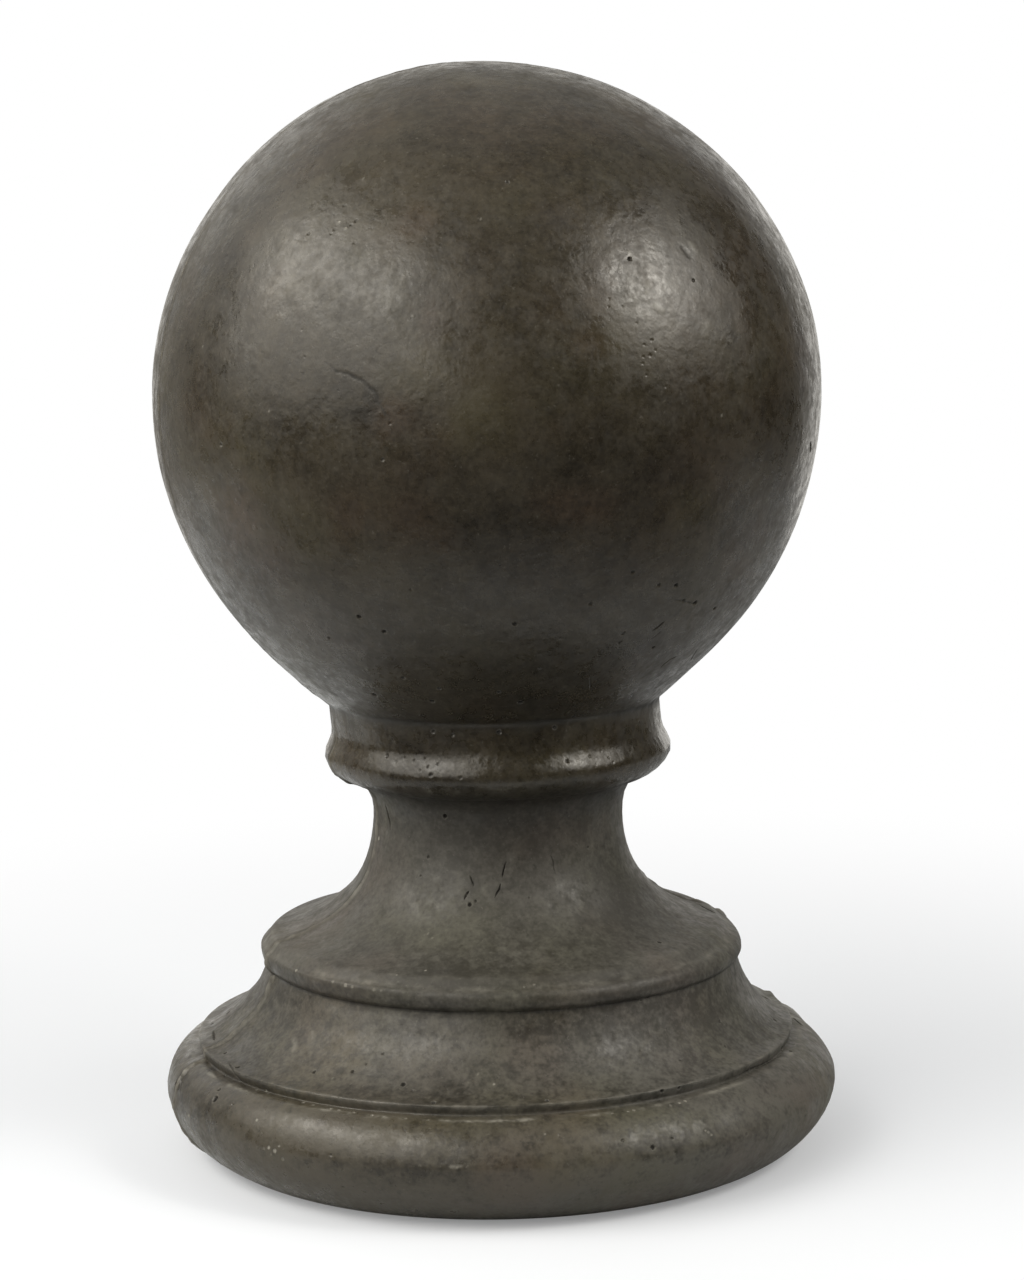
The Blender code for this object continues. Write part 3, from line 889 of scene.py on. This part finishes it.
    # the ball and its collar were waxed most, the foot is drier
    rough = (step_up(0.182, 0.165, height) * 0.95 - 0.30 * step_up(0.100, 0.085, height)
             - 0.25 * step_up(0.056, 0.046, height)
             + 0.25 * hills(base, 0.060, 70.0) * step_up(0.20, 0.17, height))
    rough += step_up(0.160, 0.140, height) * (
        0.35 * step_up(-0.02, 0.08, base[:, 0])
        - 0.28 * step_up(0.0, -0.08, base[:, 0]) * step_up(0.060, 0.050, height))
    rough = np.clip(rough, 0.0, 1.0)

    # worn edges show lighter concrete on the top edge of the base, the arris and the
    # flare's foot; the light lines along the rim's top and the collar's lower lip are
    # painted highlights with some wear
    edge_wear_and_painted_highlights = np.zeros(count)
    wander = 0.55 * MM * hills(base, 0.030, 11.0) + 0.25 * MM * hills(base, 0.009, 12.0)
    for (edge, width, much) in ((OUTLINE.creases[1] - 0.4 * MM, 1.2, 1.00),
                                (OUTLINE.creases[3], 1.4, 0.45),
                                (OUTLINE.creases[6] + 0.9 * MM, 2.0, 0.55),
                                (OUTLINE.creases[7], 2.2, 0.25),
                                (OUTLINE.creases[8] + 12.9 * MM, 1.5, 0.80)):
        gap = (mesh.along + wander - edge) / (width * MM)
        band = np.abs(gap) < 3
        broken_edge_line = np.zeros(count)
        broken_edge_line[band] = np.clip(0.34 + 0.9 * hills(base[band], 0.016, edge * 900)
                             + 1.5 * hills(base[band], 0.0036, edge * 300), 0.0, 1.1)
        edge_wear_and_painted_highlights = np.maximum(edge_wear_and_painted_highlights, much * broken_edge_line * np.exp(-gap ** 2))
    pale = np.maximum(pale, 0.8 * edge_wear_and_painted_highlights)

    # painted shade in the creases, at the foot edge and under the collar's lower
    # lip, with some dirt in the groove and staining on the neck below the collar
    for (edge, width, much) in ((OUTLINE.creases[2], 1.2, 0.35), (OUTLINE.creases[4], 1.1, 0.70),
                                (OUTLINE.creases[8] - 2.5 * MM, 4.5, 0.62),
                                (OUTLINE.creases[8] + 5.0 * MM, 4.5, 0.60),
                                (OUTLINE.creases[9], 2.4, 0.85),
                                (OUTLINE.creases[0], 3.0, 0.6)):
        gap = (mesh.along + wander - edge) / (width * MM)
        band = np.abs(gap) < 3
        crease_shade_and_dirt = np.zeros(count)
        crease_shade_and_dirt[band] = np.clip(0.70 + 0.9 * hills(base[band], 0.030, edge * 500), 0.0, 1.0)
        dark = np.maximum(dark, much * crease_shade_and_dirt * np.exp(-gap ** 2))

    points = base + facing * rise[:, None]
    low = np.array(CAD_BOX[0]) + 1e-6
    high = np.array(CAD_BOX[1]) - 1e-6
    points = np.clip(points, low, high)

    # stains, painted highlights and painted shade placed by where they show in the
    # frame, on the side that faces it
    x, y = to_pixels(base)
    sight = base - np.array(EYE)
    sight /= np.sqrt((sight ** 2).sum(1))[:, None]
    seen = step_up(0.02, 0.25, -(sight * facing).sum(1))
    rag = 0.35 * hills(base, 0.030, 50.0) + 0.22 * hills(base, 0.011, 60.0)

    def stains_and_painted_light(table):
        total = np.zeros(count)
        for cx, cy, half_x, half_y, strong in table:
            t = np.hypot((x - cx) / half_x, (y - cy) / half_y) * (1.0 - rag)
            total = np.maximum(total, strong * step_up(1.5, 0.25, t))
        return total * seen

    warm, olive = stains_and_painted_light(WARM), stains_and_painted_light(OLIVE)
    # shade is painted light: the light table less the dark table (mostly painted highlights and painted
    # shade, with a few pale patches and real stains), plus the lower round of the base made lighter, most
    # near the bottom
    shade = np.clip(stains_and_painted_light(PALE_PATCHES_AND_PAINTED_HIGHLIGHTS) - stains_and_painted_light(DARK_STAINS_AND_PAINTED_SHADE) + 0.45 * step_up(0.058, 0.046, height)
                    + 1.10 * step_up(0.032, 0.016, height), -1.0, 1.4)
    return points, np.stack((pale, dark, rough, warm, olive, shade), axis=1)


def build_casting():
    marks = Marks()
    grid = Mesh(marks)
    points, values = carve(grid, marks)
    mesh = bpy.data.meshes.new("finial_body")
    mesh.from_pydata(points.tolist(), [], grid.faces)
    mesh.validate()
    mesh.shade_smooth()
    wear_and_painted_light = mesh.attributes.new("wear_and_painted_light", "FLOAT_COLOR", "POINT")
    stain_and_painted_light = mesh.attributes.new("stain_and_painted_light", "FLOAT_COLOR", "POINT")
    ones = np.ones((len(points), 1))
    wear_and_painted_light.data.foreach_set("color", np.hstack((values[:, 0:3], ones)).astype(
        np.float32).ravel())
    stain_and_painted_light.data.foreach_set("color", np.hstack(
        (values[:, 3:5], 0.5 + 0.5 * values[:, 5:6], ones)).astype(np.float32).ravel())
    casting = bpy.data.objects.new("finial_body", mesh)
    bpy.context.scene.collection.objects.link(casting)
    mesh.calc_loop_triangles()
    print("finial_body:", len(points), "points,", len(mesh.loop_triangles), "triangles,",
          len(marks.pits), "pits")
    return casting


# ------------------------------------------------------------ material
class Nodes:
    """Short names for making shader nodes."""

    def __init__(self, tree):
        self.tree = tree

    def new(self, kind, **settings):
        node = self.tree.nodes.new(kind)
        for key, value in settings.items():
            setattr(node, key, value)
        return node

    def join(self, source, target):
        self.tree.links.new(source, target)

    def feed(self, socket, value):
        if isinstance(value, bpy.types.NodeSocket):
            self.join(value, socket)
        else:
            socket.default_value = value

    def noise(self, where, scale, detail=3.0, rough=0.5, warp=0.0):
        node = self.new("ShaderNodeTexNoise")
        self.join(where, node.inputs["Vector"])
        node.inputs["Scale"].default_value = scale
        node.inputs["Detail"].default_value = detail
        node.inputs["Roughness"].default_value = rough
        node.inputs["Distortion"].default_value = warp
        return node.outputs["Fac"]

    def span(self, value, low, high, to_low=0.0, to_high=1.0, smooth=True):
        node = self.new("ShaderNodeMapRange",
                        interpolation_type="SMOOTHSTEP" if smooth else "LINEAR")
        self.feed(node.inputs["Value"], value)
        node.inputs["From Min"].default_value = low
        node.inputs["From Max"].default_value = high
        node.inputs["To Min"].default_value = to_low
        node.inputs["To Max"].default_value = to_high
        return node.outputs["Result"]

    def math(self, kind, one, two=0.0, clamp=False):
        node = self.new("ShaderNodeMath", operation=kind, use_clamp=clamp)
        self.feed(node.inputs[0], one)
        self.feed(node.inputs[1], two)
        return node.outputs["Value"]

    def mix(self, share, one, two, kind="MIX"):
        node = self.new("ShaderNodeMix", data_type="RGBA", blend_type=kind,
                        clamp_factor=True)
        self.feed(node.inputs[0], share)
        self.feed(node.inputs[6], one)
        self.feed(node.inputs[7], two)
        return node.outputs[2]

    def split(self, colour):
        node = self.new("ShaderNodeSeparateColor")
        self.join(colour, node.inputs["Color"])
        return [node.outputs[k] for k in ("Red", "Green", "Blue")]

    def attribute(self, name):
        node = self.new("ShaderNodeAttribute", attribute_type="GEOMETRY",
                        attribute_name=name)
        return node.outputs["Color"]


def rgb(red, green, blue):
    return (red, green, blue, 1.0)


def waxed_concrete():
    """Dark grey-brown waxed concrete, mottled, with a soft uneven gloss."""
    material = bpy.data.materials.new("waxed_concrete")
    material.use_nodes = True
    tree = material.node_tree
    tree.nodes.clear()
    n = Nodes(tree)
    shader = n.new("ShaderNodeBsdfPrincipled")
    output = n.new("ShaderNodeOutputMaterial")
    n.join(shader.outputs["BSDF"], output.inputs["Surface"])
    place = n.new("ShaderNodeTexCoord").outputs["Object"]

    pale, dark, dry = n.split(n.attribute("wear_and_painted_light"))
    warm, olive, shade = n.split(n.attribute("stain_and_painted_light"))
    lift = n.new("ShaderNodeSeparateXYZ")
    n.join(place, lift.inputs["Vector"])

    def layers(middle, parts):
        """Noises summed about a middle value: (size in metres, share, warp)."""
        total = middle - 0.5 * sum(share for _, share, _ in parts)
        for size, share, warp in parts:
            piece = n.math("MULTIPLY", n.noise(place, 0.6 / size, 1.0, 0.5, warp), share)
            total = n.math("ADD", piece, total)
        return total

    # colour: from dark wax to rubbed, lighter concrete, mottled at every scale
    tone = layers(0.5, ((0.070, 0.70, 0.0), (0.026, 0.50, 0.0), (0.010, 0.46, 0.0),
                        (0.0045, 0.50, 0.0), (0.0019, 0.56, 0.0), (0.0008, 0.58, 0.0)))
    # painted light: the shade channel lightens the tone with painted highlights and darkens it with painted
    # shade
    tone = n.math("ADD", tone, n.math("MULTIPLY", n.math("SUBTRACT", shade, 0.5), 0.90))
    grain = layers(0.0, ((0.0060, 0.70, 0.0), (0.0028, 0.90, 0.0), (0.0011, 0.95, 0.0)))
    foot = n.span(lift.outputs["Z"], 0.100, 0.085)
    gritty = n.math("ADD", dry, n.math("MULTIPLY", foot, 0.85))
    tone = n.span(n.math("ADD", tone, n.math("MULTIPLY", grain, gritty)), -0.25, 1.25)
    waxed = n.mix(tone, rgb(0.0095, 0.0072, 0.0040), rgb(0.0620, 0.0530, 0.0370))
    drier = n.mix(tone, rgb(0.0336, 0.0312, 0.0256), rgb(0.0872, 0.0832, 0.0722))
    colour = n.mix(dry, waxed, drier)
    # casts of brown-red and olive
    reds = n.span(n.noise(place, 21.0, 3.0, 0.5, 0.0), 0.46, 0.74)
    greens = n.span(n.noise(place, 17.0, 3.0, 0.5, 0.0), 0.46, 0.72)
    warm_share = n.math("MAXIMUM", n.math("MULTIPLY", reds, 0.45), warm)
    olive_share = n.math("MAXIMUM", n.math("MULTIPLY", greens, 0.45), olive)
    colour = n.mix(n.math("MULTIPLY", warm_share, 0.62), colour,
                   rgb(1.22, 0.92, 0.84), "MULTIPLY")
    colour = n.mix(n.math("MULTIPLY", olive_share, 0.75), colour,
                   rgb(1.05, 1.09, 0.78), "MULTIPLY")
    # fine light and dark specks
    light_specks = n.span(n.noise(place, 640.0, 1.0, 0.5), 0.69, 0.77)
    dark_specks = n.span(n.noise(place, 520.0, 1.0, 0.5), 0.34, 0.26)
    colour = n.mix(n.math("MULTIPLY", light_specks, 0.35), colour, rgb(0.125, 0.118, 0.100))
    colour = n.mix(n.math("MULTIPLY", dark_specks, 0.25), colour, rgb(0.010, 0.008, 0.006))
    # worn edges and chips, with painted highlights on the rim's top, the collar's
    # lower lip, the seam fin and bright spots of the right-hand sheen, broken up by
    # the grain; then painted shade in pits, cuts, the seam line and the creases,
    # with some dirt and crack staining
    broken = n.span(layers(0.5, ((0.0035, 0.5, 0.3), (0.0012, 0.5, 0.0))),
                    0.38, 0.60, 0.40, 1.0)
    colour = n.mix(n.math("MULTIPLY", pale, broken), colour, rgb(0.235, 0.225, 0.195))
    colour = n.mix(n.math("MULTIPLY", dark, 0.88), colour, rgb(0.0070, 0.0060, 0.0045))
    n.join(colour, shader.inputs["Base Color"])

    collar = n.math("MULTIPLY", n.span(lift.outputs["Z"], 0.168, 0.178),
                    n.span(lift.outputs["Z"], 0.206, 0.196))

    # gloss: wax rubbed thinner in places, almost none on the foot
    rough = layers(0.325, ((0.018, 0.36, 0.0), (0.0075, 0.48, 0.0), (0.0030, 0.54, 0.0),
                           (0.0012, 0.44, 0.0)))
    rough = n.span(rough, -0.05, 0.75, 0.15, 0.55)
    rough = n.math("SUBTRACT", rough, n.math("MULTIPLY", collar, 0.04))
    rough = n.math("ADD", rough, n.math("MULTIPLY", dry, 0.24))
    rough = n.math("ADD", rough, n.math("MULTIPLY", dark, 0.35))
    rough = n.math("ADD", rough, n.math("MULTIPLY", pale, 0.12), clamp=True)
    n.join(rough, shader.inputs["Roughness"])
    shader.inputs["Specular IOR Level"].default_value = 0.5
    shader.inputs["IOR"].default_value = 1.5

    # relief too fine for the mesh: each size of hill as high as its share of 1 mm
    relief = layers(0.0, ((0.020, 0.42, 0.4), (0.0085, 0.28, 0.4), (0.0038, 0.18, 0.3),
                          (0.0016, 0.115, 0.0), (0.0007, 0.036, 0.0)))
    lively = n.math("ADD", n.math("MULTIPLY", collar, 0.5), 1.0)
    lively = n.math("SUBTRACT", lively, n.math("MULTIPLY", dry, 0.35))
    relief = n.math("MULTIPLY", relief, lively)
    relief = n.math("SUBTRACT", relief, n.math("MULTIPLY", dark_specks, 0.02))
    bump = n.new("ShaderNodeBump")
    bump.inputs["Strength"].default_value = 1.0
    bump.inputs["Distance"].default_value = 0.001
    n.join(relief, bump.inputs["Height"])
    n.join(bump.outputs["Normal"], shader.inputs["Normal"])
    material.diffuse_color = (0.045, 0.040, 0.031, 1.0)
    return material


def floor_finish():
    """Pale floor that throws back little light from the front; clear far out."""
    material = bpy.data.materials.new("pale_floor")
    material.use_nodes = True
    tree = material.node_tree
    tree.nodes.clear()
    n = Nodes(tree)
    place = n.new("ShaderNodeTexCoord").outputs["Object"]
    length = n.new("ShaderNodeVectorMath", operation="LENGTH")
    n.join(place, length.inputs[0])
    away = length.outputs["Value"]

    def blend(share, one, two):
        node = n.new("ShaderNodeMixShader")
        n.feed(node.inputs["Fac"], share)
        n.join(one, node.inputs[1])
        n.join(two, node.inputs[2])
        return node.outputs["Shader"]

    dim, pale = n.new("ShaderNodeBsdfDiffuse"), n.new("ShaderNodeBsdfDiffuse")
    glow, clear = n.new("ShaderNodeEmission"), n.new("ShaderNodeBsdfTransparent")
    depth = n.new("ShaderNodeSeparateXYZ")
    n.join(place, depth.inputs["Vector"])
    front = n.mix(n.span(away, 0.28, 0.50), rgb(0.53, 0.55, 0.575), rgb(0.10, 0.10, 0.105))
    rear = n.mix(n.span(depth.outputs["X"], -0.15, 0.20), rgb(0.74, 0.775, 0.82),
                 rgb(0.50, 0.52, 0.55))
    n.join(n.mix(n.span(depth.outputs["Y"], -0.20, 0.08), front, rear), dim.inputs["Color"])
    cloud = n.noise(place, 3.0, 3.0, 0.5)
    n.join(n.mix(cloud, rgb(0.82, 0.86, 0.94), rgb(0.85, 0.89, 0.97)), pale.inputs["Color"])
    glow.inputs["Color"].default_value = rgb(1.0, 1.0, 1.0)
    thrown = blend(n.span(away, 1.10, 1.55), dim.outputs["BSDF"], clear.outputs["BSDF"])
    shown = blend(n.span(away, 0.16, 0.80, 0.22, 1.0), pale.outputs["BSDF"], glow.outputs["Emission"])
    sight = n.new("ShaderNodeLightPath").outputs["Is Camera Ray"]
    output = n.new("ShaderNodeOutputMaterial")
    n.join(blend(sight, thrown, shown), output.inputs["Surface"])
    return material


# ------------------------------------------------------------ set
def make_floor():
    reach, ring = 1.6, 128
    points = [(0.0, 0.0, 0.0)] + [(reach * math.cos(math.tau * i / ring),
                                   reach * math.sin(math.tau * i / ring), 0.0)
                                  for i in range(ring)]
    faces = [(0, 1 + i, 1 + (i + 1) % ring) for i in range(ring)]
    mesh = bpy.data.meshes.new("floor")
    mesh.from_pydata(points, [], faces)
    mesh.materials.append(floor_finish())
    floor = bpy.data.objects.new("floor", mesh)
    bpy.context.scene.collection.objects.link(floor)


def make_camera():
    data = bpy.data.cameras.new("camera")
    data.lens = FOCAL * 36.0 / FRAME[1]
    data.sensor_width = 36.0
    data.clip_start, data.clip_end = 0.05, 200.0
    camera = bpy.data.objects.new("camera", data)
    camera.matrix_world = Matrix((
        (RIGHT[0], UP[0], -AHEAD[0], EYE[0]), (RIGHT[1], UP[1], -AHEAD[1], EYE[1]),
        (RIGHT[2], UP[2], -AHEAD[2], EYE[2]), (0.0, 0.0, 0.0, 1.0)))
    bpy.context.scene.collection.objects.link(camera)
    bpy.context.scene.camera = camera


def make_softbox(name, azimuth, elevation, distance, wide, tall, watts, aim=0.33):
    """A soft light. Azimuth 0 is the camera's side, positive to the right."""
    data = bpy.data.lights.new(name, "AREA")
    data.shape, data.size, data.size_y, data.energy = "RECTANGLE", wide, tall, watts
    data.color = (1.0, 0.955, 0.865)
    light = bpy.data.objects.new(name, data)
    a, e = math.radians(azimuth), math.radians(elevation)
    away = Vector((math.sin(a) * math.cos(e), -math.cos(a) * math.cos(e), math.sin(e)))
    light.location = Vector((0.0, 0.0, aim)) + away * distance
    light.rotation_euler = away.to_track_quat("Z", "Y").to_euler()
    bpy.context.scene.collection.objects.link(light)
    return light


def make_world():
    """White to the camera, and a softer room for the light: bright behind."""
    world = bpy.data.worlds.new("studio")
    bpy.context.scene.world = world
    world.use_nodes = True
    tree = world.node_tree
    tree.nodes.clear()
    n = Nodes(tree)
    output = n.new("ShaderNodeOutputWorld")
    mix = n.new("ShaderNodeMixShader")
    room, white = n.new("ShaderNodeBackground"), n.new("ShaderNodeBackground")
    sight = n.new("ShaderNodeLightPath").outputs["Is Camera Ray"]
    n.join(sight, mix.inputs["Fac"])
    n.join(room.outputs["Background"], mix.inputs[1])
    n.join(white.outputs["Background"], mix.inputs[2])
    n.join(mix.outputs["Shader"], output.inputs["Surface"])
    white.inputs["Color"].default_value = rgb(1.0, 1.0, 1.0)
    white.inputs["Strength"].default_value = 1.0
    split = n.new("ShaderNodeSeparateXYZ")
    n.join(n.new("ShaderNodeTexCoord").outputs["Generated"], split.inputs["Vector"])
    side = n.math("ARCTAN2", split.outputs["X"], split.outputs["Y"])
    up = split.outputs["Z"]
    right = n.math("MULTIPLY", n.span(side, math.radians(41), math.radians(35)),
                   n.span(side, math.radians(-30), math.radians(-10)))
    right = n.math("MULTIPLY", right, n.span(up, 0.06, 0.55, 1.0, 0.28))
    left = n.math("MULTIPLY", n.span(side, math.radians(-10), math.radians(-30)),
                  n.span(side, math.radians(-80), math.radians(-44)))
    left = n.math("MULTIPLY", left, n.span(up, 0.05, 0.40, 0.26, 0.80))
    left = n.math("MULTIPLY", left, n.span(up, 0.50, 0.92, 1.0, 0.30))
    behind = n.math("MULTIPLY", n.math("ADD", left, right), 1.25)
    above = n.span(up, 0.35, 1.00, 0.0, 0.26)
    level = n.math("ADD", n.math("ADD", behind, above), 0.035)
    room.inputs["Color"].default_value = rgb(1.0, 0.975, 0.92)
    n.join(level, room.inputs["Strength"])


# ------------------------------------------------------------ all together
casting = build_casting()
casting.data.materials.append(waxed_concrete())
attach(casting, "root")
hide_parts("ball_finial")

make_floor()
make_camera()
make_softbox("softbox_left", -60, 36, 1.6, 2.70, 1.25, 21.0)
make_softbox("core_left", -62, 38, 1.6, 1.50, 0.60, 11.0)
make_softbox("spill_left", -65, 9, 1.6, 1.80, 0.50, 5.0)
make_softbox("fill_left", -21, 12, 1.6, 0.60, 0.55, 1.4)
make_softbox("softbox_right", 70, 31, 1.6, 1.45, 1.10, 9.5)
make_softbox("core_right", 66, 32, 1.6, 0.75, 0.60, 5.0)
make_softbox("lamp_right", 62, 35.5, 1.6, 0.32, 0.32, 3.3)
make_world()
bpy.context.scene.view_settings.view_transform = "Standard"
bpy.context.scene.view_settings.look = "None"
